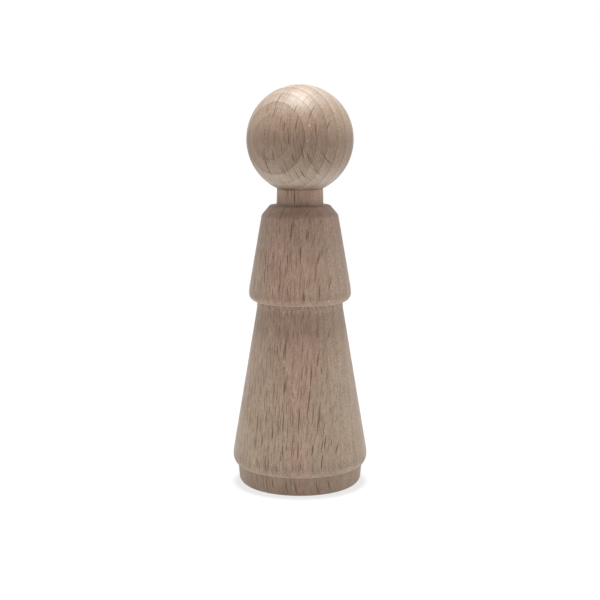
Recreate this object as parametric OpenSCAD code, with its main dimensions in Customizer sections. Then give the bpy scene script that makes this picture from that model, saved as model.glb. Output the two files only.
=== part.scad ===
// Turned beech peg doll, glued up from five turned pieces: a ball head, a peg neck,
// a flared jacket, a flared skirt and a low plinth. The doll stands on Z = 0 and all
// of its pieces are turned about the Z axis. Sizes are in millimetres.

/* [Plinth] */
// Height of the plinth from the table to the seat of the skirt
plinth_h = 4.3; // [3.6:0.1:8]
// Diameter of the plinth at its upper edge
plinth_d = 27.8; // [26:0.1:29.4]
// Diameter of the plinth just above its rounded lower edge
plinth_foot_d = 27.3; // [25:0.1:29]
// Radius of the plinth's lower edge
plinth_edge_r = 1.7; // [0.5:0.1:3]
// Diameter of the spigot on the plinth
plinth_spigot_d = 16; // [8:0.5:20]
// Length of the spigot on the plinth
plinth_spigot_l = 5; // [3:0.5:8]

/* [Skirt] */
// Height of the skirt from the plinth to the underside of the jacket
skirt_h = 36.95; // [28:0.05:60]
// Diameter of the skirt at the widest point of its hem
skirt_d = 30; // [29:0.1:40]
// Diameter of the skirt where it goes up under the jacket
skirt_top_d = 19.05; // [17:0.05:19.6]
// Height of the straight land at the top of the skirt
skirt_land_h = 1.5; // [0.5:0.1:4]
// Radius of the bead round the skirt's hem
skirt_hem_r = 2.55; // [1:0.05:3.5]
// Angle that the skirt's bead turns through below its widest point
skirt_hem_turn = 61.5; // [30:0.5:80]
// Radius that blends the skirt's hem into its cone
skirt_blend_r = 8.9; // [4:0.1:12]
// Diameter of the spigot on the skirt
skirt_spigot_d = 12; // [9:0.5:14]
// Length of the spigot on the skirt
skirt_spigot_l = 6; // [3:0.5:7]

/* [Jacket] */
// Height of the jacket from its underside to the flat of its shoulder
jacket_h = 21.2; // [20:0.1:32]
// Diameter of the jacket at the widest point of its hem
jacket_d = 22.6; // [22:0.1:28]
// Diameter of the jacket at the lower edge of its shoulder chamfer
jacket_shoulder_d = 16.85; // [15:0.05:20]
// Width of the shoulder chamfer, measured along the radius
shoulder_chamfer_w = 1.8; // [0.5:0.1:2]
// Height of the shoulder chamfer
shoulder_chamfer_h = 2.15; // [0.5:0.05:4]
// Radius of the bead round the jacket's hem
jacket_hem_r = 1.8; // [0.8:0.1:2.6]
// Angle that the jacket's bead turns through below its widest point
jacket_hem_turn = 74; // [40:0.5:85]
// Radius that blends the jacket's hem into its cone
jacket_blend_r = 9.3; // [4:0.1:11]

/* [Neck] */
// Length of the neck that shows between the jacket and the head
neck_h = 3.65; // [2:0.05:8]
// Diameter of the neck under the head
neck_d = 10.1; // [8:0.05:11]
// Diameter of the neck on the jacket
neck_foot_d = 10.3; // [8:0.05:11.6]
// Width of the shoulder that seats at each end of the neck
neck_seat_w = 1.1; // [0.6:0.1:1.6]
// Length of the tenon that goes up into the head
head_tenon_l = 8; // [4:0.5:10]
// Length of the tenon that goes down into the jacket
jacket_tenon_l = 9; // [4:0.5:9.5]

/* [Head] */
// Diameter of the ball head
head_d = 23.6; // [20:0.1:30]

/* [Fits] */
// Radial room for glue between a tenon and its socket
glue_gap = 0.05; // [0.02:0.01:0.15]
// Room for glue between the end of a tenon and the bottom of its socket
end_room = 0.5; // [0.2:0.1:1]
// Chamfer on the end of a tenon
tenon_chamfer = 0.6; // [0.2:0.1:1]
// Chamfer round the mouth of a socket
mouth_chamfer = 0.3; // [0.1:0.1:0.4]

/* [Hidden] */

beech = [0.64, 0.54, 0.46];
$fn = 120;
arc_steps = 12;
drill_point_angle = 118;
overrun = 1;

plinth_r = plinth_d / 2;
plinth_foot_r = plinth_foot_d / 2;
plinth_spigot_r = plinth_spigot_d / 2;

skirt_r = skirt_d / 2;
skirt_top_r = skirt_top_d / 2;
skirt_spigot_r = skirt_spigot_d / 2;
skirt_z = plinth_h;
skirt_hem_z = skirt_z + skirt_hem_r * sin(skirt_hem_turn);

jacket_r = jacket_d / 2;
jacket_shoulder_r = jacket_shoulder_d / 2;
jacket_z = skirt_z + skirt_h;
jacket_hem_z = jacket_z + jacket_hem_r * sin(jacket_hem_turn);

neck_r = neck_d / 2;
neck_foot_r = neck_foot_d / 2;
neck_z = jacket_z + jacket_h;
head_tenon_r = neck_r - neck_seat_w;
jacket_tenon_r = neck_foot_r - neck_seat_w;

head_r = head_d / 2;
head_seat_z = neck_z + neck_h;
head_z = head_seat_z + sqrt(head_r ^ 2 - neck_r ^ 2);

// Points on an arc, from one angle to another about its centre
function arc(centre, radius, from, to) = [
    for (i = [0:arc_steps])
        let (angle = from + (to - from) * i / arc_steps)
        centre + radius * [cos(angle), sin(angle)]
];

// Angle at which a line from a point above touches the outer side of an arc
function touch_angle(centre, radius, point) =
    let (reach = point - centre)
    atan2(reach.y, reach.x) - acos(radius / norm(reach));

// Side of a flared body, up from the cut under its hem: a bead, a blend arc, and the
// start of the cone that runs on to the point at its top
function flared_side(body_r, hem_z, hem_r, hem_turn, blend_r, top) =
    let (bead = [body_r - hem_r, hem_z])
    let (blend = [body_r - blend_r, hem_z])
    let (touch = touch_angle(blend, blend_r, top))
    concat(
        arc(bead, hem_r, -hem_turn, -hem_turn / arc_steps),
        arc(blend, blend_r, 0, touch),
        [top]
    );

// End of a tenon that points up, from its shoulder to the axis
function tenon_up(r, z, length) = [
    [r, z],
    [r, z + length - tenon_chamfer],
    [r - tenon_chamfer, z + length],
    [0, z + length]
];

// End of a tenon that points down, from the axis to its shoulder
function tenon_down(r, z, length) = [
    [0, z - length],
    [r - tenon_chamfer, z - length],
    [r, z - length + tenon_chamfer],
    [r, z]
];

// Body of revolution about the doll's axis
module turned(outline) {
    rotate_extrude() polygon(outline);
}

// Blind socket that opens downwards at a height, cut to take a tenon
module socket_up(tenon_r, z, tenon_l) {
    r = tenon_r + glue_gap;
    mouth_r = r + mouth_chamfer;
    depth = tenon_l + end_room;
    turned([
        [0, z - overrun],
        [mouth_r, z - overrun],
        [mouth_r, z],
        [r, z + mouth_chamfer],
        [r, z + depth],
        [0, z + depth]
    ]);
}

// Cone that a twist drill leaves at the bottom of its hole, with its point up
module drill_point(tenon_r) {
    r = tenon_r + glue_gap;
    cylinder(r1 = r, r2 = 0, h = r / tan(drill_point_angle / 2));
}

// Ball head, flat where it sits on the neck, with a drilled socket
module head() {
    color(beech)
    difference() {
        translate([0, 0, head_z]) sphere(r = head_r);
        translate([0, 0, head_seat_z - head_r]) cylinder(r = head_r, h = head_r);
        socket_up(head_tenon_r, head_seat_z, head_tenon_l);
        translate([0, 0, head_seat_z + head_tenon_l + end_room]) drill_point(head_tenon_r);
    }
}

// Peg neck with a tenon at each end and a slightly tapered middle that shows
module neck() {
    color(beech)
    turned(concat(
        tenon_down(jacket_tenon_r, neck_z, jacket_tenon_l),
        [[neck_foot_r, neck_z], [neck_r, head_seat_z]],
        tenon_up(head_tenon_r, head_seat_z, head_tenon_l)
    ));
}

// Jacket with a chamfered shoulder, bored from above for the neck and from below for
// the spigot on the skirt
module jacket() {
    shoulder = [jacket_shoulder_r, neck_z - shoulder_chamfer_h];
    color(beech)
    difference() {
        turned(concat(
            [[0, jacket_z]],
            flared_side(
                jacket_r, jacket_hem_z, jacket_hem_r, jacket_hem_turn, jacket_blend_r, shoulder
            ),
            [[jacket_shoulder_r - shoulder_chamfer_w, neck_z], [0, neck_z]]
        ));
        socket_up(skirt_spigot_r, jacket_z, skirt_spigot_l);
        translate([0, 0, neck_z])
        mirror([0, 0, 1]) {
            socket_up(jacket_tenon_r, 0, jacket_tenon_l);
            translate([0, 0, jacket_tenon_l + end_room]) drill_point(jacket_tenon_r);
        }
    }
}

// Skirt with a short straight land and a spigot on top, bored below for the plinth
module skirt() {
    cone_top = [skirt_top_r, jacket_z - skirt_land_h];
    color(beech)
    difference() {
        turned(concat(
            [[0, skirt_z]],
            flared_side(skirt_r, skirt_hem_z, skirt_hem_r, skirt_hem_turn, skirt_blend_r, cone_top),
            [[skirt_top_r, jacket_z]],
            tenon_up(skirt_spigot_r, jacket_z, skirt_spigot_l)
        ));
        socket_up(plinth_spigot_r, skirt_z, plinth_spigot_l);
    }
}

// Low plinth with a rounded lower edge and a spigot that locates the skirt
module plinth() {
    edge = [plinth_foot_r - plinth_edge_r, plinth_edge_r];
    upper_edge = [plinth_r, plinth_h];
    touch = touch_angle(edge, plinth_edge_r, upper_edge);
    color(beech)
    turned(concat(
        [[0, 0]],
        arc(edge, plinth_edge_r, -90, touch),
        [upper_edge],
        tenon_up(plinth_spigot_r, plinth_h, plinth_spigot_l)
    ));
}

head();
neck();
jacket();
skirt();
plinth();
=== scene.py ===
"""Turned beech peg doll: a ball head, a peg neck, a flared jacket, a flared skirt and a low plinth.

Each piece is a body of revolution with its real tenons and sockets, turned from one outline, and all
five share one beech whose rings, rays and fibres run on from piece to piece, as in one rod.
"""

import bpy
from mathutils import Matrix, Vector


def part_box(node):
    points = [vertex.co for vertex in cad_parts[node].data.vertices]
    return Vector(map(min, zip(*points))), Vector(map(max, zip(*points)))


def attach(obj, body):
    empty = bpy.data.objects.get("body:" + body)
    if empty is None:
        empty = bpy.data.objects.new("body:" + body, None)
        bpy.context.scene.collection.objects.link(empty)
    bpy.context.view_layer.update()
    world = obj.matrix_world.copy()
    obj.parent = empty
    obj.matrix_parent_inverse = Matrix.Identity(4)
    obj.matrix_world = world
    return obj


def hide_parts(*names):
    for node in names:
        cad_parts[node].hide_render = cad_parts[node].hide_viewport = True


bl_info = {
    "name": "Turned Peg Doll",
    "version": (1, 0, 0),
    "blender": (4, 5, 0),
    "location": "3D View > Sidebar > Peg Doll",
    "description": "Turns a bare beech peg doll piece by piece and sets it on a pale studio floor",
    "category": "Object",
}

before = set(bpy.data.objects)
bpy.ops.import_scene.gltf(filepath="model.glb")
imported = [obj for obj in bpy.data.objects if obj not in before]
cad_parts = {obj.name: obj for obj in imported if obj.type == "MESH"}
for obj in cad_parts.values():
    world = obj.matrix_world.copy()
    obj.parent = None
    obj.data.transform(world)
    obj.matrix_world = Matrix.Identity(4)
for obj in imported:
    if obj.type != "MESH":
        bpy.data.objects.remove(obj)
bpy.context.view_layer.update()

import math

import bpy
import numpy as np
from mathutils import Vector, noise

MM = 0.001
BODY = "root"
WOOD = "bare_beech"

head_low, head_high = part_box("head")
neck_low, neck_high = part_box("neck")
jacket_low, jacket_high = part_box("jacket")
skirt_low, skirt_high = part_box("skirt")
plinth_low, plinth_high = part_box("plinth")

SKIRT_SEAT = skirt_low.z
JACKET_SEAT = jacket_low.z
NECK_SEAT = jacket_high.z
HEAD_SEAT = head_low.z


def length(name, description, millimetres):
    """A length property, with its default given in millimetres."""
    return bpy.props.FloatProperty(
        name=name, description=description, default=millimetres * MM, unit="LENGTH", precision=5
    )


def angle(name, description, degrees):
    """An angle property, with its default given in degrees."""
    return bpy.props.FloatProperty(
        name=name, description=description, default=math.radians(degrees), subtype="ANGLE"
    )


def share(name, description, value):
    """A property that is a share of something, from 0 to 1."""
    return bpy.props.FloatProperty(
        name=name, description=description, default=value, min=0, max=1, subtype="FACTOR"
    )


def power(name, description, watts):
    """A property for the power of a lamp."""
    return bpy.props.FloatProperty(
        name=name, description=description, default=watts, min=0, unit="POWER"
    )


def colour(name, description, value):
    """A colour property, as linear red, green and blue."""
    return bpy.props.FloatVectorProperty(
        name=name, description=description, default=value, min=0, max=1, size=3, subtype="COLOR"
    )


class PegDollSizes(bpy.types.PropertyGroup):
    """Sizes of the turned pieces that their seats in the frame don't give."""

    ball_width: length("Ball width", "Diameter of the head, level with the floor", 23.4)
    neck_width: length("Neck width", "Diameter of the neck under the head", 10.1)
    neck_foot: length("Neck foot", "Diameter of the neck on the jacket", 10.3)
    neck_cove: length("Neck cove", "Radius of the small hollow curve at the neck's foot", 0.2)
    neck_shoulder: length("Neck shoulder", "Width of the seat round each tenon of the neck", 1.1)
    shoulder_width: length("Shoulder width", "Diameter of the jacket under its chamfer", 16.85)
    chamfer_width: length("Chamfer width", "Width of the shoulder chamfer along the radius", 1.8)
    chamfer_height: length("Chamfer height", "Height of the shoulder chamfer", 2.15)
    jacket_bead: length("Jacket bead", "Radius of the bead round the jacket's hem", 1.8)
    jacket_turn: angle("Jacket bead turn", "Turn of the jacket's bead below its widest point", 74)
    jacket_blend: length("Jacket blend", "Radius from the jacket's hem into its cone", 9.3)
    skirt_top: length("Skirt top", "Diameter of the skirt under the jacket", 19.05)
    skirt_land: length("Skirt land", "Height of the straight land at the top of the skirt", 1.5)
    skirt_bead: length("Skirt bead", "Radius of the bead round the skirt's hem", 2.73)
    skirt_turn: angle("Skirt bead turn", "Turn of the skirt's bead below its widest point", 55.2)
    skirt_blend: length("Skirt blend", "Radius from the skirt's hem into its cone", 8.9)
    skirt_spigot: length("Skirt spigot", "Diameter of the spigot on the skirt", 12.0)
    plinth_foot: length("Plinth foot", "Diameter of the plinth above its lower edge", 27.3)
    plinth_edge: length("Plinth edge", "Radius of the plinth's lower edge", 1.7)
    plinth_spigot: length("Plinth spigot", "Diameter of the spigot on the plinth", 16.0)
    glue_gap: length("Glue gap", "Radial room between a tenon and its socket", 0.05)
    end_room: length("End room", "Room past the end of a tenon", 0.5)
    fray: length("Fray", "How far the edge under the jacket's hem is torn back", 0.11)
    arris: length("Arris", "How far a turned edge is sanded back", 0.14)


# How finely the pieces are turned: faces round the axis, the usual steps along a curve and a
# straight run, and how many steps go round a sanded corner and up the ball.
SEGMENTS = 360
FINE_STEP = 0.12 * MM
LONG_STEP = 0.4 * MM
CORNER_STEPS = 5
BALL_STEPS = 200


def arc(centre, radius, start, end):
    """Points on an arc from one angle to another, in radians."""
    steps = max(4, round(abs(end - start) * radius / FINE_STEP))
    turns = [start + (end - start) * i / steps for i in range(steps + 1)]
    return [(centre[0] + radius * math.cos(a), centre[1] + radius * math.sin(a)) for a in turns]


def straight(start, end):
    """Points on a straight run, close enough together to take wear."""
    steps = max(1, round(math.dist(start, end) / LONG_STEP))
    return [between(start, end, i / steps) for i in range(steps + 1)]


def between(start, end, share):
    """The point at a share of the way from one point to another."""
    return tuple(a + (b - a) * share for a, b in zip(start, end))


def trimmed(run, cut):
    """A run of points with a length taken off its end."""
    run = list(run)
    while len(run) > 2 and math.dist(run[-1], run[-2]) <= cut:
        cut -= math.dist(run[-1], run[-2])
        run.pop()
    share = min(cut / math.dist(run[-1], run[-2]), 0.9)
    return run[:-1] + [between(run[-1], run[-2], share)]


def eased(first, second, cut):
    """Two runs that meet at a corner, joined by a small curve in place of the corner."""
    corner = second[0]
    first = trimmed(first, cut)
    second = trimmed(second[::-1], cut)[::-1]
    curve = []
    for i in range(1, CORNER_STEPS):
        share = i / CORNER_STEPS
        leg, arm = between(first[-1], corner, share), between(corner, second[0], share)
        curve.append(between(leg, arm, share))
    return first + curve + second


def outline(runs, arris):
    """One outline from runs of points, each with how far the corner after it is sanded back.
    None stands for the usual arris, and zero for a corner that is left as it is."""
    points, cut = list(runs[0][0]), runs[0][1]
    for run, next_cut in runs[1:]:
        cut = arris if cut is None else cut
        points = eased(points, run, cut) if cut else points + run[1:]
        cut = next_cut
    return points


def touch_angle(centre, radius, point):
    """The angle at which a line from a point above touches the outer side of an arc."""
    across, up = point[0] - centre[0], point[1] - centre[1]
    return math.atan2(up, across) - math.acos(radius / math.hypot(across, up))


def flared_runs(widest, hem_z, bead, turn, blend, top):
    """Runs up the side of a flared body: its bead, the blend above it and the cone."""
    bead_centre = (widest - bead, hem_z)
    blend_centre = (widest - blend, hem_z)
    touch = touch_angle(blend_centre, blend, top)
    blend_run = arc(blend_centre, blend, 0, touch)
    return [
        (arc(bead_centre, bead, -turn, 0), 0),
        (blend_run, 0),
        (straight(blend_run[-1], top), None),
    ]


def turned_mesh(name, points):
    """A closed mesh turned from an outline that starts and ends on the axis."""
    turns = np.linspace(0, 2 * math.pi, SEGMENTS, endpoint=False)
    around = np.stack([np.cos(turns), np.sin(turns)], axis=1)
    rings = [
        np.column_stack([around * r, np.full(SEGMENTS, z)]) for r, z in points[1:-1]
    ]
    verts = np.vstack([[[0, 0, points[0][1]]], *rings, [[0, 0, points[-1][1]]]])
    here = np.arange(SEGMENTS)
    after = (here + 1) % SEGMENTS
    faces = [(0, 1 + b, 1 + a) for a, b in zip(here, after)]
    for i in range(len(rings) - 1):
        low, high = 1 + i * SEGMENTS, 1 + (i + 1) * SEGMENTS
        faces += [(low + a, low + b, high + b, high + a) for a, b in zip(here, after)]
    last, top = 1 + (len(rings) - 1) * SEGMENTS, len(verts) - 1
    faces += [(last + a, last + b, top) for a, b in zip(here, after)]
    mesh = bpy.data.meshes.new(name)
    mesh.from_pydata(verts.tolist(), [], [tuple(int(v) for v in f) for f in faces])
    mesh.shade_smooth()
    return mesh


# The torn places along a sharp lower edge: how wide the torn band is, how long a tear is, and
# how much of the edge they take up, where 0 is half of it.
TORN_BAND = 0.3 * MM
TEAR_LENGTH = 0.45 * MM
TORN_MORE = 0.4


def frayed(mesh, edge_radius, edge_z, depth):
    """Takes a hair off a piece's sharp lower edge here and there, where fibres tore out."""
    for vertex in mesh.vertices:
        x, y, z = vertex.co
        above = (z - edge_z) / TORN_BAND
        if above < 1 and math.hypot(x, y) > edge_radius - TORN_BAND:
            tear = noise.noise(Vector((x, y, 0)) / TEAR_LENGTH) + TORN_MORE
            vertex.co.z += depth * max(0, min(tear, 1)) * (1 - above)


def turn_piece(name, points, node, context, fray=None):
    """Turns a piece from its outline, finishes it and lets it stand for its node."""
    mesh = turned_mesh(name, points)
    if fray:
        frayed(mesh, *fray)
    piece = bpy.data.objects.new(name, mesh)
    context.scene.collection.objects.link(piece)
    mesh.materials.append(beech(context))
    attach(piece, BODY)
    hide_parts(node)


class Flow:
    """A value that runs through a node tree. Arithmetic on it adds the Math nodes it needs."""

    def __init__(self, nodes, socket):
        self.nodes = nodes
        self.socket = socket

    def other(self, output):
        """Another output of the same node."""
        return Flow(self.nodes, self.socket.node.outputs[output])

    def maths(self, operation, *values):
        """What one Math node makes of some values."""
        return self.nodes.add("Math", {"operation": operation}, dict(enumerate(values)))

    def __add__(self, value):
        return self.maths("ADD", self, value)

    def __radd__(self, value):
        return self.maths("ADD", value, self)

    def __sub__(self, value):
        return self.maths("SUBTRACT", self, value)

    def __rsub__(self, value):
        return self.maths("SUBTRACT", value, self)

    def __mul__(self, value):
        return self.maths("MULTIPLY", self, value)

    def __rmul__(self, value):
        return self.maths("MULTIPLY", value, self)

    def __truediv__(self, value):
        return self.maths("DIVIDE", self, value)

    def __rtruediv__(self, value):
        return self.maths("DIVIDE", value, self)

    def __pow__(self, value):
        return self.maths("POWER", self, value)

    def __rpow__(self, value):
        return self.maths("POWER", value, self)

    def __mod__(self, value):
        return self.maths("FLOORED_MODULO", self, value)

    def __rmod__(self, value):
        return self.maths("FLOORED_MODULO", value, self)

    def __floordiv__(self, value):
        return self.maths("FLOOR", self / value)

    def __rfloordiv__(self, value):
        return self.maths("FLOOR", value / self)

    def __abs__(self):
        return self.maths("ABSOLUTE", self)


class Nodes:
    """Adds nodes to one node tree."""

    def __init__(self, tree):
        self.tree = tree

    def add(self, kind, settings, inputs, output=0):
        """A new node: its settings are set first, then its sockets get values or links."""
        node = self.tree.nodes.new("ShaderNode" + kind)
        for name, value in settings.items():
            setattr(node, name, value)
        for key, value in inputs.items():
            if isinstance(value, Flow):
                self.tree.links.new(value.socket, node.inputs[key])
            else:
                node.inputs[key].default_value = value
        return Flow(self, node.outputs[output])

    def vector(self, x, y, z):
        """One vector from three numbers."""
        return self.add("CombineXYZ", {}, {"X": x, "Y": y, "Z": z})

    def parts(self, vector):
        """The three numbers of a vector."""
        x = self.add("SeparateXYZ", {}, {"Vector": vector})
        return x, x.other("Y"), x.other("Z")

    def step(self, value, low, high):
        """Smooth step from 0 at the low value to 1 at the high one."""
        settings = {"interpolation_type": "SMOOTHSTEP"}
        return self.add("MapRange", settings, {"Value": value, "From Min": low, "From Max": high})

    def span(self, value, rise, fall):
        """Smooth rise from 0 to 1 between the first two values, and fall between the last two."""
        return self.step(value, *rise) * (1 - self.step(value, *fall))

    def noise(self, x, y, z, detail=2.0, roughness=0.5):
        """Soft noise round 0, about 0.25 either way."""
        inputs = {"Vector": self.vector(x, y, z), "Scale": 1, "Detail": detail, "Roughness": roughness}
        return self.add("TexNoise", {}, inputs) - 0.5

    def mix(self, share, first, second):
        """A mix of two colours."""
        return self.add("Mix", {"data_type": "RGBA"}, {0: share, 6: first, 7: second}, 2)

    def toned(self, colour, swing):
        """A colour made paler where the swing is above 0, and darker and browner below it."""
        shares = {"Red": 1 + swing * 0.95, "Green": 1 + swing * 1.06, "Blue": 1 + swing * 1.2}
        settings = {"data_type": "RGBA", "blend_type": "MULTIPLY"}
        return self.add("Mix", settings, {0: 1, 6: colour, 7: self.add("CombineColor", {}, shares)}, 2)


class PegDollBeech(bpy.types.PropertyGroup):
    """Colours of the beech and the spacing of its figure."""

    tan: colour("Tan", "Yellower parts of the wood", (0.396, 0.286, 0.206))
    pink: colour("Pink", "Pinker parts of the wood", (0.434, 0.273, 0.202))
    late: colour("Late wood", "Dark wood at the end of each year's ring", (0.235, 0.150, 0.102))
    ray: colour("Ray", "Cut ends of the large rays", (0.158, 0.076, 0.036))
    flake: colour("Flake", "Broad flat faces of the rays where they are cut along", (0.42, 0.31, 0.235))
    # The fuzz colour also paints the hems' pale lines, partly painted bounce light from the floor.
    fuzz_and_painted_bounce: colour("Fuzz", "Raised fibres on the sharp edges", (0.50, 0.39, 0.30))
    # Painted light: this paler colour stands for the highlight on the head's crown and bounce light on
    # its chin.
    painted_pale_light: colour("Dust", "Sanding dust in the head's end grain, above and below", (0.42, 0.347, 0.292))
    turn: angle("Turn of the log", "Angle of the rays to the left of the front", 35)
    pith: length("Pith", "Distance of the log's heart from the middle of the head", 160)
    lean: share("Lean", "How much nearer the log's heart comes with each unit of height", 0.043)
    ring: length("Ring", "Width of the innermost year's ring in the doll", 1.7)
    ring_growth: length("Ring growth", "How much wider each ring is than the one inside it", 0.25)
    ring_start: length("Ring start", "Distance of the innermost ring from the middle of the head", 10.7)
    # Head shade is partly a darker head and partly painted shade round its middle; foot shade is
    # painted shade on the plinth under the skirt.
    head_painted_shade: share("Head shade", "How much darker the wood is in the head", 0.175)
    foot_painted_shade: share("Foot shade", "How much darker the wood is in the plinth", 0.17)
    ray_gap: length("Ray gap", "Space between the large rays, across the grain", 1.32)
    ray_height: length("Ray height", "Half the height of a large ray", 3.2)
    ray_width: length("Ray width", "Half the width of a large ray", 0.16)


# Heights in millimetres, as the beech is worked out: where the pieces meet, and the head's middle.
SKIRT_FOOT = SKIRT_SEAT / MM
JACKET_FOOT = JACKET_SEAT / MM
NECK_FOOT = NECK_SEAT / MM
HEAD_FOOT = HEAD_SEAT / MM
HEAD_MIDDLE = HEAD_FOOT + 10.7

# How far the ray sheets lean round the log with each unit of height.
RAY_LEAN = 0.04

# How squarely the surface cuts a ray sheet counts as no less than this, so no fleck gets too thin.
FLATTEST_CUT = 0.4


def log_place(look, x, y, z):
    """Where a point of the doll lies in its log: how far from the pith along the line to the
    doll's axis, and how far to the side of that line. Works on numbers and on node outputs."""
    toward_x, toward_y = -math.sin(look.turn), -math.cos(look.turn)
    toward = x * toward_x + y * toward_y
    across = y * toward_x - x * toward_y
    return look.pith / MM - toward - (z - HEAD_MIDDLE) * look.lean, across


class Grain:
    """Where a point lies in the doll and in its log, in millimetres, as values in a node tree."""

    def __init__(self, nodes, look):
        place = nodes.add("TexCoord", {}, {}, "Object")
        x, y, z = [part / MM for part in nodes.parts(place)]
        self.x, self.y, self.z = x, y, z
        self.place = nodes.vector(x, y, z)
        self.radius = (x * x + y * y) ** 0.5 + 0.1
        self.in_the_log(nodes, look, x, y, z)
        self.on_the_doll(nodes, z)

    def in_the_log(self, nodes, look, x, y, z):
        """How far the point is from the pith and round it, which ray sheet it lies on, and how
        the surface cuts the sheets: facing is 1 straight across, aside is 1 along them."""
        pith = look.pith / MM
        away, across = log_place(look, x, y, z)
        bend = nodes.noise(x / 9, y / 9, z / 30)
        self.from_pith = (away * away + across * across) ** 0.5 + bend * 0.8
        round_pith = nodes.add("Math", {"operation": "ARCTAN2"}, {0: across, 1: away}) * pith
        waver = nodes.noise(round_pith / 1.5, z / 4, self.from_pith / 6)
        self.round_pith = round_pith + waver * 0.12
        sway = nodes.noise(x / 8 + 20, y / 8, z / 24)
        self.sheet = self.round_pith + (z - HEAD_MIDDLE) * RAY_LEAN + sway * 0.8
        inward = pith - away - (z - HEAD_MIDDLE) * look.lean
        cuts = {0: abs(inward) / self.radius, 1: FLATTEST_CUT}
        self.facing = nodes.add("Math", {"operation": "MAXIMUM"}, cuts)
        self.aside = abs(across) / self.radius

    def on_the_doll(self, nodes, z):
        """Which part of the doll the point is on: 1 there and 0 elsewhere."""
        chin_low, chin_high = HEAD_MIDDLE - 9.2, HEAD_MIDDLE - 4
        self.head = nodes.step(z, HEAD_FOOT - 0.1, HEAD_FOOT + 0.1)
        self.crown = nodes.step(z, HEAD_MIDDLE + 4.5, HEAD_MIDDLE + 10)
        self.chin = nodes.span(z, (HEAD_MIDDLE - 10.8, chin_low), (chin_low, chin_high))
        self.from_chamfer_up = nodes.step(z, NECK_FOOT - 2.2, NECK_FOOT - 1.9)
        self.chamfer = self.from_chamfer_up * (1 - nodes.step(z, NECK_FOOT - 0.05, NECK_FOOT + 0.05))
        self.hem = nodes.span(
            z, (SKIRT_FOOT, SKIRT_FOOT + 0.05), (SKIRT_FOOT + 0.4, SKIRT_FOOT + 1.1)
        )
        self.foot = 1 - nodes.step(z, SKIRT_FOOT - 0.1, SKIRT_FOOT + 0.1)


def year_rings(nodes, look, grain):
    """The dark late wood at the end of each year's ring, with a fainter line halfway."""
    ring, growth = look.ring / MM, look.ring_growth / MM
    within = grain.from_pith - look.pith / MM + look.ring_start / MM
    # The widths of n rings that grow evenly add up to ring * n + growth * n * n / 2.
    year = ((ring * ring + 2 * growth * within) ** 0.5 - ring) / growth
    age = year % 1
    # Some years end darker than others, and those inside the first ring are faint.
    strength = nodes.add("Math", {"operation": "COSINE"}, {0: year // 1 * 2.6}) * 0.2 + 0.8
    strength = strength * (0.4 + 0.6 * nodes.step(year, -0.05, 0.05))
    late = nodes.step(age, 0.15, 1.0) ** 1.5 * 0.65 + nodes.step(age, 0.9, 0.97) * 0.35
    late = late * (1 - nodes.step(age, 0.98, 1.0))
    return late * strength + nodes.span(year * 2 % 1, (0.6, 0.97), (0.98, 1)) * 0.2


def flecks(nodes, look, grain, gap, rise, deep, height, width, seed):
    """Flecks where the surface cuts ray sheets, up to 1 in the darkest. Their gap, rise, height
    and width are shares of the large rays' own; deep is how far, in millimetres, one runs on into
    the wood. They keep their width on the surface as it turns away from the pith, and break up
    where it runs along the rays."""
    across, up = look.ray_gap / MM * gap, look.ray_height / MM * rise
    half_height, half_width = look.ray_height / MM * height, look.ray_width / MM * width
    sheet, z = grain.sheet / across + seed, grain.z / up
    cells = nodes.add(
        "TexVoronoi",
        {"voronoi_dimensions": "2D", "feature": "F1"},
        {"Vector": nodes.vector(sheet, z, 0), "Scale": 1, "Randomness": 0.9},
        "Position",
    )
    own_sheet, own_z, _ = nodes.parts(cells)
    tall, wide, strong = nodes.parts(cells.other("Color"))
    off_sheet = (sheet - own_sheet) * (across / half_width) / (0.65 + 0.7 * wide) / grain.facing
    off_z = (z - own_z) * (up / half_height) / (0.5 + 0.65 * tall)
    spindle = 1 - abs(off_sheet) - off_z * off_z
    # A ray ends after a while: a noise along it, which is another one for each, breaks it up.
    along = nodes.step(grain.aside, 0.8, 0.98)
    torn = nodes.noise(strong * 90, tall * 90, grain.from_pith / deep, 0.0) - along * 0.3
    present = nodes.step(torn, -0.26, -0.2)
    return nodes.step(spindle, 0, 0.35) * (0.55 + 0.45 * strong) * present


# A fleck's thin ends fade away, so it is made this much longer than it shows.
FADED_ENDS = 1.25

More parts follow.
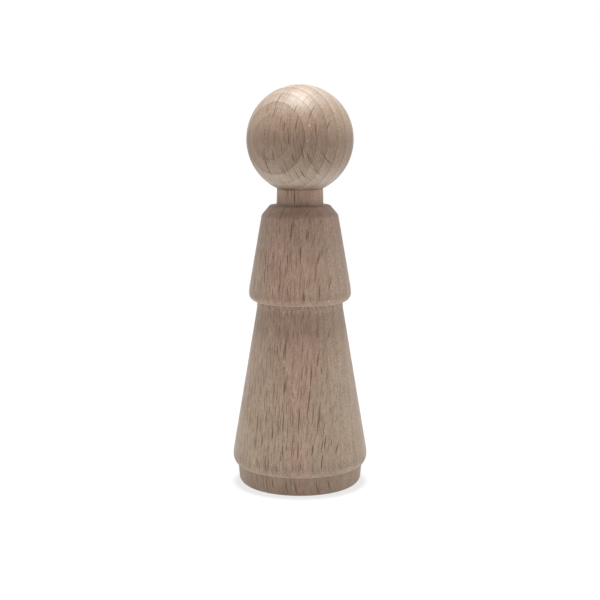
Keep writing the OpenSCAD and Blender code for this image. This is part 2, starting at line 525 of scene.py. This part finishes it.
# The largest flecks on the front of the doll, from the top down, in millimetres: the middle of
# each on the surface and half its length.
GREAT_FLECKS = (
    (-4.5, -6.5, 85.5, 2.0), (-1.0, -9.7, 83.4, 1.0), (-6.9, -7.0, 83.3, 1.1),
    (2.3, -9.9, 82.8, 2.0), (-5.4, -8.5, 82.8, 1.2), (-0.8, -11.2, 80.3, 1.6),
    (5.9, -9.6, 80.1, 1.1), (-3.4, -10.9, 79.7, 1.1), (3.2, -11.0, 79.5, 1.0),
    (-2.4, -11.5, 76.9, 1.1), (0.4, -11.5, 74.4, 1.7), (-8.0, -8.1, 73.6, 1.1),
    (-5.7, -9.8, 73.5, 1.1), (1.7, -11.1, 73.1, 1.3), (-1.4, -11.1, 73.0, 1.0),
    (5.7, -9.4, 72.5, 2.9), (-7.2, -7.8, 71.6, 2.7), (-3.4, -9.2, 70.2, 1.2),
    (3.5, -9.1, 70.1, 1.4), (0.5, -9.4, 69.7, 1.6), (-1.2, -4.9, 64.5, 1.5),
    (1.7, -7.4, 61.3, 1.5), (-3.9, -6.7, 61.1, 1.3), (-1.9, -8.7, 57.3, 2.3),
    (1.4, -9.0, 56.5, 1.1), (0.1, -9.8, 52.5, 2.0), (-7.4, -6.6, 51.7, 1.8),
    (4.0, -9.1, 51.6, 1.3), (-2.7, -9.6, 51.5, 1.3), (-7.6, -7.3, 47.8, 1.4),
    (6.5, -8.7, 46.3, 1.4), (4.1, -10.4, 44.4, 1.9), (0.8, -11.2, 43.5, 1.2),
    (6.3, -8.1, 35.2, 1.2), (-3.1, -10.2, 32.8, 2.9), (-4.9, -9.7, 31.6, 1.1),
    (4.0, -10.4, 29.9, 1.5), (2.4, -11.6, 26.0, 2.2), (-3.4, -11.7, 23.8, 1.6),
    (2.0, -12.4, 21.5, 2.2), (4.0, -12.7, 17.4, 3.5), (-0.2, -13.3, 17.2, 2.5),
    (-3.6, -12.9, 16.5, 2.3), (-9.3, -10.0, 15.2, 1.9), (-5.9, -12.5, 14.1, 1.3),
    (5.4, -13.1, 12.4, 1.4), (-8.2, -11.5, 12.2, 1.4), (-9.6, -10.6, 11.5, 1.4),
    (2.6, -14.2, 10.8, 1.2), (8.0, -12.0, 10.7, 1.2), (-0.4, -14.4, 10.6, 1.7),
    (-3.8, -14.0, 10.4, 1.6), (4.7, -14.1, 7.9, 1.6), (-7.5, -12.8, 7.8, 1.4),
    (-5.9, -12.4, 2.9, 1.1), (6.2, -12.3, 2.6, 1.2), (-7.2, -11.7, 2.6, 1.5),
    (-1.0, -13.7, 2.4, 1.6), (-2.9, -13.4, 2.3, 1.6), (3.7, -13.2, 2.0, 1.7),
)


def great_flecks(nodes, look, grain):
    """How far inside one of the largest flecks a point is: 1 in its middle, 0 and less outside.
    Each is a spindle where a ray sheet, told by its distance round the pith, meets the surface."""
    sheet = grain.round_pith + grain.z * RAY_LEAN
    inside = 0.0
    for *centre, half_length in GREAT_FLECKS:
        away, across = log_place(look, *centre)
        own_sheet = math.atan2(across, away) * look.pith / MM + centre[2] * RAY_LEAN
        facing = math.cos(math.atan2(centre[0], 0 - centre[1]) + look.turn)
        width = look.ray_width * max(facing, FLATTEST_CUT) / MM
        off = nodes.add("VectorMath", {"operation": "DISTANCE"}, {0: grain.place, 1: centre}, 1)
        one = 1 - (off / (half_length * FADED_ENDS)) ** 2 - abs(sheet - own_sheet) / width
        inside = nodes.add("Math", {"operation": "MAXIMUM"}, {0: inside, 1: one})
    return inside


def large_flecks(nodes, look, grain, speck):
    """The large flecks: the largest ones in front, with ragged rims, and others all round,
    fainter in front."""
    others = flecks(nodes, look, grain, gap=1, rise=2.1, deep=1.6, height=1, width=1, seed=3)
    others = others * (1 - nodes.step(0 - grain.y / grain.radius, 0.3, 0.5) * 0.4)
    great = nodes.step(great_flecks(nodes, look, grain) + speck * 0.5, 0, 0.25)
    return nodes.add("Math", {"operation": "MAXIMUM"}, {0: others, 1: great})


# Small pale pips on the front, in millimetres: the middle of each and how far it reaches.
PIPS = (
    ((1.97, -11.24, 79.81), 0.36),
    ((1.6, -11.69, 76.70), 0.28),
    ((6.23, -9.34, 42.48), 0.42),
)


def pip(nodes, grain, centre, size):
    """A small pale spot of raised or broken fibres."""
    x, y, z = grain.x, grain.y, grain.z
    off_x, off_y, off_z = x - centre[0], y - centre[1], z - centre[2]
    ragged = nodes.noise(x / 0.15, y / 0.15, z / 0.15) * 0.8 * size
    away = (off_x * off_x + off_y * off_y + off_z * off_z) ** 0.5 + ragged
    return 1 - nodes.step(away, size * 0.5, size)


def edges(nodes, grain):
    """The pale lines along the two hems, and the raised fibres in the rough band that the tool left on
    the skirt right under the jacket. The jacket's hem line is raised fibres made paler with painted
    bounce light from the floor, and the skirt's lower edge line is painted bounce light. Gives how much
    they show and how high they stand."""
    x, y, z = grain.x, grain.y, grain.z
    ragged = nodes.noise(x / 0.35, y / 0.35, z / 0.5, 3.0, 0.7)
    # The jacket's hem: raised fibres, with painted bounce light from the floor on its lower edge.
    hem = 1 - nodes.step(z - JACKET_FOOT + ragged * 1.3, 0.2, 0.45)
    hem = hem * nodes.step(grain.radius, 9.8, 10.0) * nodes.step(z, JACKET_FOOT - 0.1, JACKET_FOOT)
    # The skirt's lower edge: a pale line of painted bounce light from the floor.
    low = 1 - nodes.step(z - SKIRT_FOOT + ragged * 0.6, 0.12, 0.3)
    low = low * nodes.step(z, SKIRT_FOOT + 0.01, SKIRT_FOOT + 0.05)
    band = nodes.step(z + ragged * 2, JACKET_FOOT - 1.9, JACKET_FOOT - 1.0)
    band = band * (1 - nodes.step(z, JACKET_FOOT, JACKET_FOOT + 0.05))
    band = band * nodes.span(grain.radius, (9.1, 9.4), (9.8, 9.9))
    curls = band * nodes.step(ragged, 0.02, 0.1) * 0.7
    return hem * (0.65 + ragged * 1.5) + low * 0.35 + curls, ragged * (hem + low + band * 4)


def pink_tone_and_painted_shade(nodes, grain):
    """How pink the wood is: pinker toward the shoulder under the head, up the skirt toward the jacket,
    round the middle of the head and in the plinth, a painted shade tint where shade falls, and less
    pink at the flanks, a painted paler reflection at grazing angles. One streak up the front of the
    skirt and a soft band are the wood's own."""
    z = grain.z
    # Painted shade tint: pinker under the head, up under the jacket and round the ball's middle.
    body = nodes.step(z, 18, 38) * 0.6 + 0.1
    shoulder = nodes.span(z, (54, 61), (61.8, 63)) * 0.4
    ball = nodes.span(z, (70, 75.5), (78.5, 82.5)) * 0.6
    shares = (body + shoulder) * (1 - nodes.step(z, HEAD_FOOT - 0.2, HEAD_FOOT + 0.2)) + ball
    # Less pink at the flanks: painted paler reflection at grazing angles.
    shares = shares * (1 - nodes.step(abs(grain.x), 4, 11) * 0.45)
    streak = 1 - nodes.step(abs(grain.sheet + z * 0.047 - 6.4), 1.0, 3.4)
    streak = streak * (1 - nodes.step(z, 24, 38)) * 0.45
    band = nodes.noise(grain.sheet / 3.6, z / 26, grain.from_pith / 8, 1.0) * 1.05
    return nodes.add("Clamp", {}, {"Value": shares + streak + band + grain.foot * 0.2})


def painted_shading(nodes, look, grain):
    """How much darker the colour is made, mostly as painted shade: in the head, partly a darker head
    and partly painted shade round its middle, with its crown and chin made paler as painted light; in
    the plinth under the skirt, at the jacket's flanks, on the right side and in the skirt right under
    the jacket. It is made paler lower down on the front of the skirt."""
    x, z = grain.x, grain.z
    # Painted shade round the ball's middle, with painted light at its crown and chin.
    head = look.head_painted_shade * (grain.head - grain.crown * 0.85 - grain.chin * 1.8)
    # Painted shade at the jacket's flanks, on the right side and on the skirt under the jacket.
    flanks = nodes.step(abs(x), 4, 9) * nodes.step(z, JACKET_FOOT, JACKET_FOOT + 2) * 0.08
    right = nodes.step(x, 4, 9) * 0.035
    under = nodes.span(z, (31, 38), (JACKET_FOOT, JACKET_FOOT + 1)) * 0.06
    front = nodes.span(z, (5, 12), (26, 34)) * (1 - nodes.step(abs(x), 4, 11)) * 0.03
    body = (flanks + right) * (1 - nodes.step(z, 60, 64)) + under - front
    return head + look.foot_painted_shade * grain.foot + body


def plain_wood(nodes, look, grain, late):
    """The wood's colour without fibres and flecks: its pink and tan parts, the pink partly a painted
    shade tint, the rays' flat faces at the sides, a paler colour painted on the head's crown as a
    highlight and on its chin as bounce light from below, and the dark late wood."""
    wood = nodes.mix(pink_tone_and_painted_shade(nodes, grain), (*look.tan, 1), (*look.pink, 1))
    wave = nodes.noise(grain.sheet / 0.5, grain.z / 2.6, grain.from_pith / 9, 1.0)
    flake = nodes.step(wave, 0.02, 0.12) * nodes.step(grain.aside, 0.6, 1.0) * 0.14
    wood = nodes.mix(flake, wood, (*look.flake, 1))
    # Painted light: a paler colour as a highlight on the ball's crown and as bounce light on its chin.
    wood = nodes.mix(grain.crown * 0.55 + grain.chin * 0.6, wood, (*look.painted_pale_light, 1))
    late_share = 0.35 + 0.4 * grain.head + grain.crown * 0.15 - grain.chin * 0.2
    return nodes.mix(late * late_share, wood, (*look.late, 1))


def beech(context):
    """The beech that every piece is made of, as one log whose figure runs through them all."""
    found = bpy.data.materials.get(WOOD)
    if found:
        return found
    look = context.scene.peg_doll_beech
    material = bpy.data.materials.new(WOOD)
    material.use_nodes = True
    tree = material.node_tree
    shader = tree.nodes["Principled BSDF"]
    shader.inputs["Specular IOR Level"].default_value = 0.6
    shader.inputs["Sheen Weight"].default_value = 0.08
    shader.inputs["Sheen Roughness"].default_value = 0.4
    shader.inputs["Sheen Tint"].default_value = (0.8, 0.92, 1, 1)

    nodes = Nodes(tree)
    grain = Grain(nodes, look)
    x, y, z = grain.x, grain.y, grain.z
    sheet, from_pith = grain.sheet, grain.from_pith
    fibre = nodes.noise(sheet / 0.2, z / 4.5, from_pith / 0.2, 3.0, 0.6)
    speck = nodes.noise(sheet / 0.27, z / 0.4, from_pith / 0.27, 2.0, 0.7)
    streak = nodes.noise(sheet / 0.7, z / 14, from_pith / 0.7, 1.0)
    cloud = nodes.noise(x / 3, y / 3, z / 6)
    burr_and_painted_bounce, ragged = edges(nodes, grain)
    late = year_rings(nodes, look, grain)

    # Fibres and specks, fainter on the plinth and from the chamfer up to the head's crown.
    sanded = grain.from_chamfer_up * (1 - grain.crown) + grain.foot * 1.6
    swing = (fibre * 0.95 + speck * 1.4) * (1 - 0.25 * sanded)
    swing = swing + streak * 0.25 + cloud * 0.2 + ragged * 0.4
    wood = plain_wood(nodes, look, grain, late)
    # Painted shade is toned into the colour here, together with the fibres and specks.
    wood = nodes.toned(wood, swing - painted_shading(nodes, look, grain))

    # Flecks, fainter along the rays, on the plinth, on the skirt's hem, the chamfer and the chin.
    along = nodes.step(grain.aside, 0.92, 0.98)
    shown = 1 - grain.hem * 0.6
    fine = (1 - along) * shown * (1 - 0.4 * grain.chin - 0.4 * grain.foot - 0.6 * grain.chamfer)
    large = large_flecks(nodes, look, grain, speck)
    cut = large * (1 - along * 0.9) * shown * (1 - 0.4 * grain.chamfer)
    middling = flecks(
        nodes, look, grain, gap=0.6, rise=1.3, deep=1.2, height=0.6, width=0.68, seed=41
    )
    small = flecks(nodes, look, grain, gap=0.3, rise=0.6, deep=2, height=0.28, width=0.4, seed=77)
    wood = nodes.mix(small * (0.5 - 0.25 * grain.head) * fine, wood, (*look.ray, 1))
    wood = nodes.mix(middling * (0.95 - 0.3 * grain.head) * fine, wood, (*look.ray, 1))
    wood = nodes.mix(cut * 0.95, wood, (*look.ray, 1))

    # Raised fibres and pips, the hems' lines partly painted bounce light, and the relief of the whole
    # surface in millimetres.
    wood = nodes.mix(burr_and_painted_bounce, wood, (*look.fuzz_and_painted_bounce, 1))
    height = fibre * 0.016 + speck * 0.022 - middling * 0.008 + late * 0.003
    height = height + burr_and_painted_bounce * 0.03 + ragged * 0.02
    for centre, size in PIPS:
        pale = pip(nodes, grain, centre, size)
        wood = nodes.mix(pale * 0.9, wood, (*look.fuzz_and_painted_bounce, 1))
        height = height + pale * 0.05
    bump = nodes.add("Bump", {}, {"Strength": 1, "Distance": MM, "Height": height})
    roughness = 0.54 + fibre * 0.3 + cut * 0.1 + burr_and_painted_bounce * 0.2

    tree.links.new(wood.socket, shader.inputs["Base Color"])
    tree.links.new(roughness.socket, shader.inputs["Roughness"])
    tree.links.new(bump.socket, shader.inputs["Normal"])
    return material


class PEGDOLL_OT_head(bpy.types.Operator):
    """Turn the ball head, with its flat seat and its drilled socket"""

    bl_idname = "peg_doll.turn_head"
    bl_label = "Turn Head"

    def execute(self, context):
        sizes = context.scene.peg_doll_sizes
        seat = sizes.neck_width / 2
        radius = sizes.ball_width / 2
        tenon = seat - sizes.neck_shoulder + sizes.glue_gap
        drilled = neck_high.z + sizes.end_room
        seat_turn = math.acos(seat / radius)
        upright = (head_high.z - HEAD_SEAT) / (1 + math.sin(seat_turn))
        centre = head_high.z - upright
        sweep = math.pi / 2 + seat_turn
        turns = [-seat_turn + sweep * i / BALL_STEPS for i in range(BALL_STEPS + 1)]
        ball = [(radius * math.cos(a), centre + upright * math.sin(a)) for a in turns]
        ball[-1] = (0, head_high.z)
        points = outline(
            [
                ([(0, drilled), (tenon, drilled)], None),
                ([(tenon, drilled), (tenon, HEAD_SEAT)], None),
                ([(tenon, HEAD_SEAT), ball[0]], sizes.arris / 8),
                (ball, 0),
            ],
            sizes.arris,
        )
        turn_piece("turned_head", points, "head", context)
        return {"FINISHED"}


class PEGDOLL_OT_neck(bpy.types.Operator):
    """Turn the peg neck, with a shouldered tenon at each end"""

    bl_idname = "peg_doll.turn_neck"
    bl_label = "Turn Neck"

    def execute(self, context):
        sizes = context.scene.peg_doll_sizes
        foot, top = sizes.neck_foot / 2, sizes.neck_width / 2
        cove = sizes.neck_cove
        low_tenon = foot - sizes.neck_shoulder
        high_tenon = top - sizes.neck_shoulder
        points = outline(
            [
                ([(0, neck_low.z), (low_tenon, neck_low.z)], None),
                ([(low_tenon, neck_low.z), (low_tenon, NECK_SEAT)], 0),
                ([(low_tenon, NECK_SEAT), (foot + cove, NECK_SEAT)], 0),
                (arc((foot + cove, NECK_SEAT + cove), cove, -math.pi / 2, -math.pi), 0),
                (straight((foot, NECK_SEAT + cove), (top, HEAD_SEAT)), 0),
                ([(top, HEAD_SEAT), (high_tenon, HEAD_SEAT)], 0),
                ([(high_tenon, HEAD_SEAT), (high_tenon, neck_high.z)], None),
                ([(high_tenon, neck_high.z), (0, neck_high.z)], 0),
            ],
            sizes.arris,
        )
        turn_piece("turned_neck", points, "neck", context)
        return {"FINISHED"}


class PEGDOLL_OT_jacket(bpy.types.Operator):
    """Turn the flared jacket, with its beaded hem, chamfered shoulder and two sockets"""

    bl_idname = "peg_doll.turn_jacket"
    bl_label = "Turn Jacket"

    def execute(self, context):
        sizes = context.scene.peg_doll_sizes
        widest = jacket_high.x
        hem_z = JACKET_SEAT + sizes.jacket_bead * math.sin(sizes.jacket_turn)
        shoulder = (sizes.shoulder_width / 2, NECK_SEAT - sizes.chamfer_height)
        collar = (sizes.shoulder_width / 2 - sizes.chamfer_width, NECK_SEAT)
        low_socket = sizes.skirt_spigot / 2 + sizes.glue_gap
        low_end = skirt_high.z + sizes.end_room
        high_socket = sizes.neck_foot / 2 - sizes.neck_shoulder + sizes.glue_gap
        high_end = neck_low.z - sizes.end_room
        side = flared_runs(
            widest, hem_z, sizes.jacket_bead, sizes.jacket_turn, sizes.jacket_blend, shoulder
        )
        hem_edge = side[0][0][0]
        # The two edges of the chamfer are sanded rounder than the others.
        side[-1] = (side[-1][0], 3 * sizes.arris)
        points = outline(
            [
                ([(0, low_end), (low_socket, low_end)], 0),
                ([(low_socket, low_end), (low_socket, JACKET_SEAT)], None),
                (straight((low_socket, JACKET_SEAT), hem_edge), sizes.arris / 2),
                *side,
                (straight(shoulder, collar), 2 * sizes.arris),
                ([collar, (high_socket, NECK_SEAT)], None),
                ([(high_socket, NECK_SEAT), (high_socket, high_end)], 0),
                ([(high_socket, high_end), (0, high_end)], 0),
            ],
            sizes.arris,
        )
        fray = (hem_edge[0], JACKET_SEAT, sizes.fray)
        turn_piece("turned_jacket", points, "jacket", context, fray)
        return {"FINISHED"}


class PEGDOLL_OT_skirt(bpy.types.Operator):
    """Turn the flared skirt, with its beaded hem, the spigot on top and a socket below"""

    bl_idname = "peg_doll.turn_skirt"
    bl_label = "Turn Skirt"

    def execute(self, context):
        sizes = context.scene.peg_doll_sizes
        widest = skirt_high.x
        hem_z = SKIRT_SEAT + sizes.skirt_bead * math.sin(sizes.skirt_turn)
        top = sizes.skirt_top / 2
        spigot = sizes.skirt_spigot / 2
        socket = sizes.plinth_spigot / 2 + sizes.glue_gap
        socket_end = plinth_high.z + sizes.end_room
        cone_top = (top, JACKET_SEAT - sizes.skirt_land)
        side = flared_runs(
            widest, hem_z, sizes.skirt_bead, sizes.skirt_turn, sizes.skirt_blend, cone_top
        )
        hem_edge = side[0][0][0]
        points = outline(
            [
                ([(0, socket_end), (socket, socket_end)], 0),
                ([(socket, socket_end), (socket, SKIRT_SEAT)], None),
                ([(socket, SKIRT_SEAT), hem_edge], sizes.arris / 6),
                *side,
                (straight(cone_top, (top, JACKET_SEAT)), None),
                ([(top, JACKET_SEAT), (spigot, JACKET_SEAT)], 0),
                ([(spigot, JACKET_SEAT), (spigot, skirt_high.z)], None),
                ([(spigot, skirt_high.z), (0, skirt_high.z)], 0),
            ],
            sizes.arris,
        )
        turn_piece("turned_skirt", points, "skirt", context)
        return {"FINISHED"}


class PEGDOLL_OT_plinth(bpy.types.Operator):
    """Turn the low plinth, with its rounded lower edge and the spigot for the skirt"""

    bl_idname = "peg_doll.turn_plinth"
    bl_label = "Turn Plinth"

    def execute(self, context):
        sizes = context.scene.peg_doll_sizes
        edge = sizes.plinth_edge
        centre = (sizes.plinth_foot / 2 - edge, edge)
        upper = (plinth_high.x, SKIRT_SEAT)
        spigot = sizes.plinth_spigot / 2
        edge_run = arc(centre, edge, -math.pi / 2, touch_angle(centre, edge, upper))
        points = outline(
            [
                ([(0, 0), edge_run[0]], 0),
                (edge_run, 0),
                (straight(edge_run[-1], upper), sizes.arris / 4),
                ([upper, (spigot, SKIRT_SEAT)], 0),
                ([(spigot, SKIRT_SEAT), (spigot, plinth_high.z)], None),
                ([(spigot, plinth_high.z), (0, plinth_high.z)], 0),
            ],
            sizes.arris,
        )
        turn_piece("turned_plinth", points, "plinth", context)
        return {"FINISHED"}


class PegDollStudio(bpy.types.PropertyGroup):
    """The camera, the lamps and the floor of the studio."""

    camera_away: length("Camera distance", "Distance of the camera from the doll's axis", 286.7)
    camera_up: length("Camera height", "Height of the camera above the floor", 84.7)
    camera_tilt: angle("Camera tilt", "How far the camera looks down", 8.611)
    camera_lens: length("Camera lens", "Focal length of the lens on a 36 mm sensor", 78.32)
    key_power: power("Key power", "Power of the small lamp high above the doll", 12.6)
    soft_power: power("Soft power", "Power of the wide lamp above the doll", 0.67)
    front_power: power("Front power", "Power of the lamp in front of the doll", 0.4)
    left_power: power("Left power", "Power of the lamp on the left", 0.67)
    right_power: power("Right power", "Power of the lamp on the right", 0.97)
    top_tint: colour("Top tint", "Colour of the lamps above the doll", (0.985, 1.0, 0.98))
    side_tint: colour("Side tint", "Colour of the lamps beside the doll", (0.95, 1.0, 0.98))
    floor_width: length("Floor width", "Width of the floor", 6000)
    floor_near: length("Floor near", "Distance at which the floor starts to pass into white", 150)
    floor_far: length("Floor far", "Distance past which the floor is plain white to the camera", 400)
    floor_glow: share("Floor glow", "Share of the floor's white that it gives of itself", 0.35)
    floor_lift: share("Floor lift", "Share of plain white seen in the floor near the doll", 0.78)
    floor_colour: colour("Floor colour", "Colour of the pale floor", (0.8, 0.8, 0.8))


# Each lamp's place and width in metres, and the names of its power and tint in the studio.
LAMPS = {
    "key_lamp": ((0, 0, 0.9), 0.25, "key_power", "top_tint"),
    "soft_lamp": ((0, 0, 0.6), 1.0, "soft_power", "top_tint"),
    "front_lamp": ((0, -0.8, 0.25), 0.5, "front_power", "side_tint"),
    "left_lamp": ((-0.7, 0, 0.3), 0.6, "left_power", "side_tint"),
    "right_lamp": ((0.7, 0, 0.3), 0.6, "right_power", "side_tint"),
}
LAMPS_AIM = Vector((0, 0, 50 * MM))

# The floor lies a hair below the plinth's flat, so that the two faces don't coincide.
FLOOR_DROP = 0.02 * MM


def lamp(name, place, width, power, tint, context):
    """A soft square lamp that faces the middle of the doll."""
    light = bpy.data.lights.new(name, "AREA")
    light.color = tint
    light.size = width
    light.energy = power
    stand = bpy.data.objects.new(name, light)
    stand.location = place
    stand.rotation_euler = (LAMPS_AIM - Vector(place)).to_track_quat("-Z", "Y").to_euler()
    context.scene.collection.objects.link(stand)


def seen_directly(nodes):
    """1 for the rays of the camera, of reflections and of clear materials, 0 for others."""
    path = nodes.add("LightPath", {}, {}, "Is Camera Ray")
    seen = path + path.other("Is Glossy Ray") + path.other("Is Transmission Ray")
    return nodes.add("Clamp", {}, {"Value": seen})


class PEGDOLL_OT_studio(bpy.types.Operator):
    """Set the camera, the lamps and the pale floor"""

    bl_idname = "peg_doll.set_studio"
    bl_label = "Set Studio"

    def execute(self, context):
        studio = context.scene.peg_doll_studio
        lens = bpy.data.cameras.new("studio_camera")
        lens.lens = studio.camera_lens / MM
        lens.clip_start = 10 * MM
        camera = bpy.data.objects.new("studio_camera", lens)
        camera.location = (0, -studio.camera_away, studio.camera_up)
        camera.rotation_euler = (math.pi / 2 - studio.camera_tilt, 0, 0)
        context.scene.collection.objects.link(camera)
        context.scene.camera = camera
        context.scene.view_settings.view_transform = "Standard"
        for name, (place, width, power, tint) in LAMPS.items():
            lamp(name, place, width, getattr(studio, power), getattr(studio, tint), context)
        self.surround(context)
        self.floor(studio, context)
        return {"FINISHED"}

    def surround(self, context):
        """A white surround that is seen and reflected, but adds no light of its own."""
        world = bpy.data.worlds.new("white_surround")
        context.scene.world = world
        world.use_nodes = True
        nodes = Nodes(world.node_tree)
        background = world.node_tree.nodes["Background"]
        background.inputs["Color"].default_value = (1, 1, 1, 1)
        world.node_tree.links.new(seen_directly(nodes).socket, background.inputs["Strength"])

    def floor(self, studio, context):
        """A wide pale floor that keeps the doll's shadow and passes into white far away."""
        half = studio.floor_width / 2
        corners = [(-half, -half), (half, -half), (half, half), (-half, half)]
        mesh = bpy.data.meshes.new("studio_floor")
        mesh.from_pydata([(x, y, -FLOOR_DROP) for x, y in corners], [], [(0, 1, 2, 3)])
        floor = bpy.data.objects.new("studio_floor", mesh)
        context.scene.collection.objects.link(floor)
        material = bpy.data.materials.new("pale_floor")
        material.use_nodes = True
        tree = material.node_tree
        nodes = Nodes(tree)
        matt = tree.nodes["Principled BSDF"]
        matt.inputs["Base Color"].default_value = (*studio.floor_colour, 1)
        matt.inputs["Roughness"].default_value = 0.9
        matt.inputs["Specular IOR Level"].default_value = 0
        white = nodes.add("Emission", {}, {"Color": (1, 1, 1, 1), "Strength": 1})
        place = nodes.add("TexCoord", {}, {}, "Object")
        x, y, _ = nodes.parts(place)
        away = (x * x + y * y) ** 0.5
        fade = nodes.step(away, studio.floor_near, studio.floor_far)
        seen_share = studio.floor_lift + (1 - studio.floor_lift) * fade - studio.floor_glow
        share = studio.floor_glow + seen_share * seen_directly(nodes)
        mixed = nodes.add("MixShader", {}, {0: share, 1: Flow(nodes, matt.outputs[0]), 2: white})
        tree.links.new(mixed.socket, tree.nodes["Material Output"].inputs["Surface"])
        mesh.materials.append(material)


class PEGDOLL_PT_sidebar(bpy.types.Panel):
    """The studio and the doll's pieces, in the order they are made, and all their settings"""

    bl_label = "Peg Doll"
    bl_idname = "PEGDOLL_PT_sidebar"
    bl_space_type = "VIEW_3D"
    bl_region_type = "UI"
    bl_category = "Peg Doll"

    def draw(self, context):
        for step in STEPS:
            self.layout.operator(step.bl_idname)
        for name, group in SETTINGS.items():
            box = self.layout.box()
            for setting in group.__annotations__:
                box.prop(getattr(context.scene, name), setting)


STEPS = (
    PEGDOLL_OT_studio,
    PEGDOLL_OT_plinth,
    PEGDOLL_OT_skirt,
    PEGDOLL_OT_jacket,
    PEGDOLL_OT_neck,
    PEGDOLL_OT_head,
)
SETTINGS = {
    "peg_doll_sizes": PegDollSizes,
    "peg_doll_beech": PegDollBeech,
    "peg_doll_studio": PegDollStudio,
}
CLASSES = (*SETTINGS.values(), *STEPS, PEGDOLL_PT_sidebar)


def register():
    for cls in CLASSES:
        bpy.utils.register_class(cls)
    for name, group in SETTINGS.items():
        setattr(bpy.types.Scene, name, bpy.props.PointerProperty(type=group))


def unregister():
    for name in SETTINGS:
        delattr(bpy.types.Scene, name)
    for cls in reversed(CLASSES):
        bpy.utils.unregister_class(cls)


def main():
    """Makes the studio and the doll."""
    register()
    bpy.ops.peg_doll.set_studio()
    bpy.ops.peg_doll.turn_plinth()
    bpy.ops.peg_doll.turn_skirt()
    bpy.ops.peg_doll.turn_jacket()
    bpy.ops.peg_doll.turn_neck()
    bpy.ops.peg_doll.turn_head()


if __name__ == "__main__":
    main()
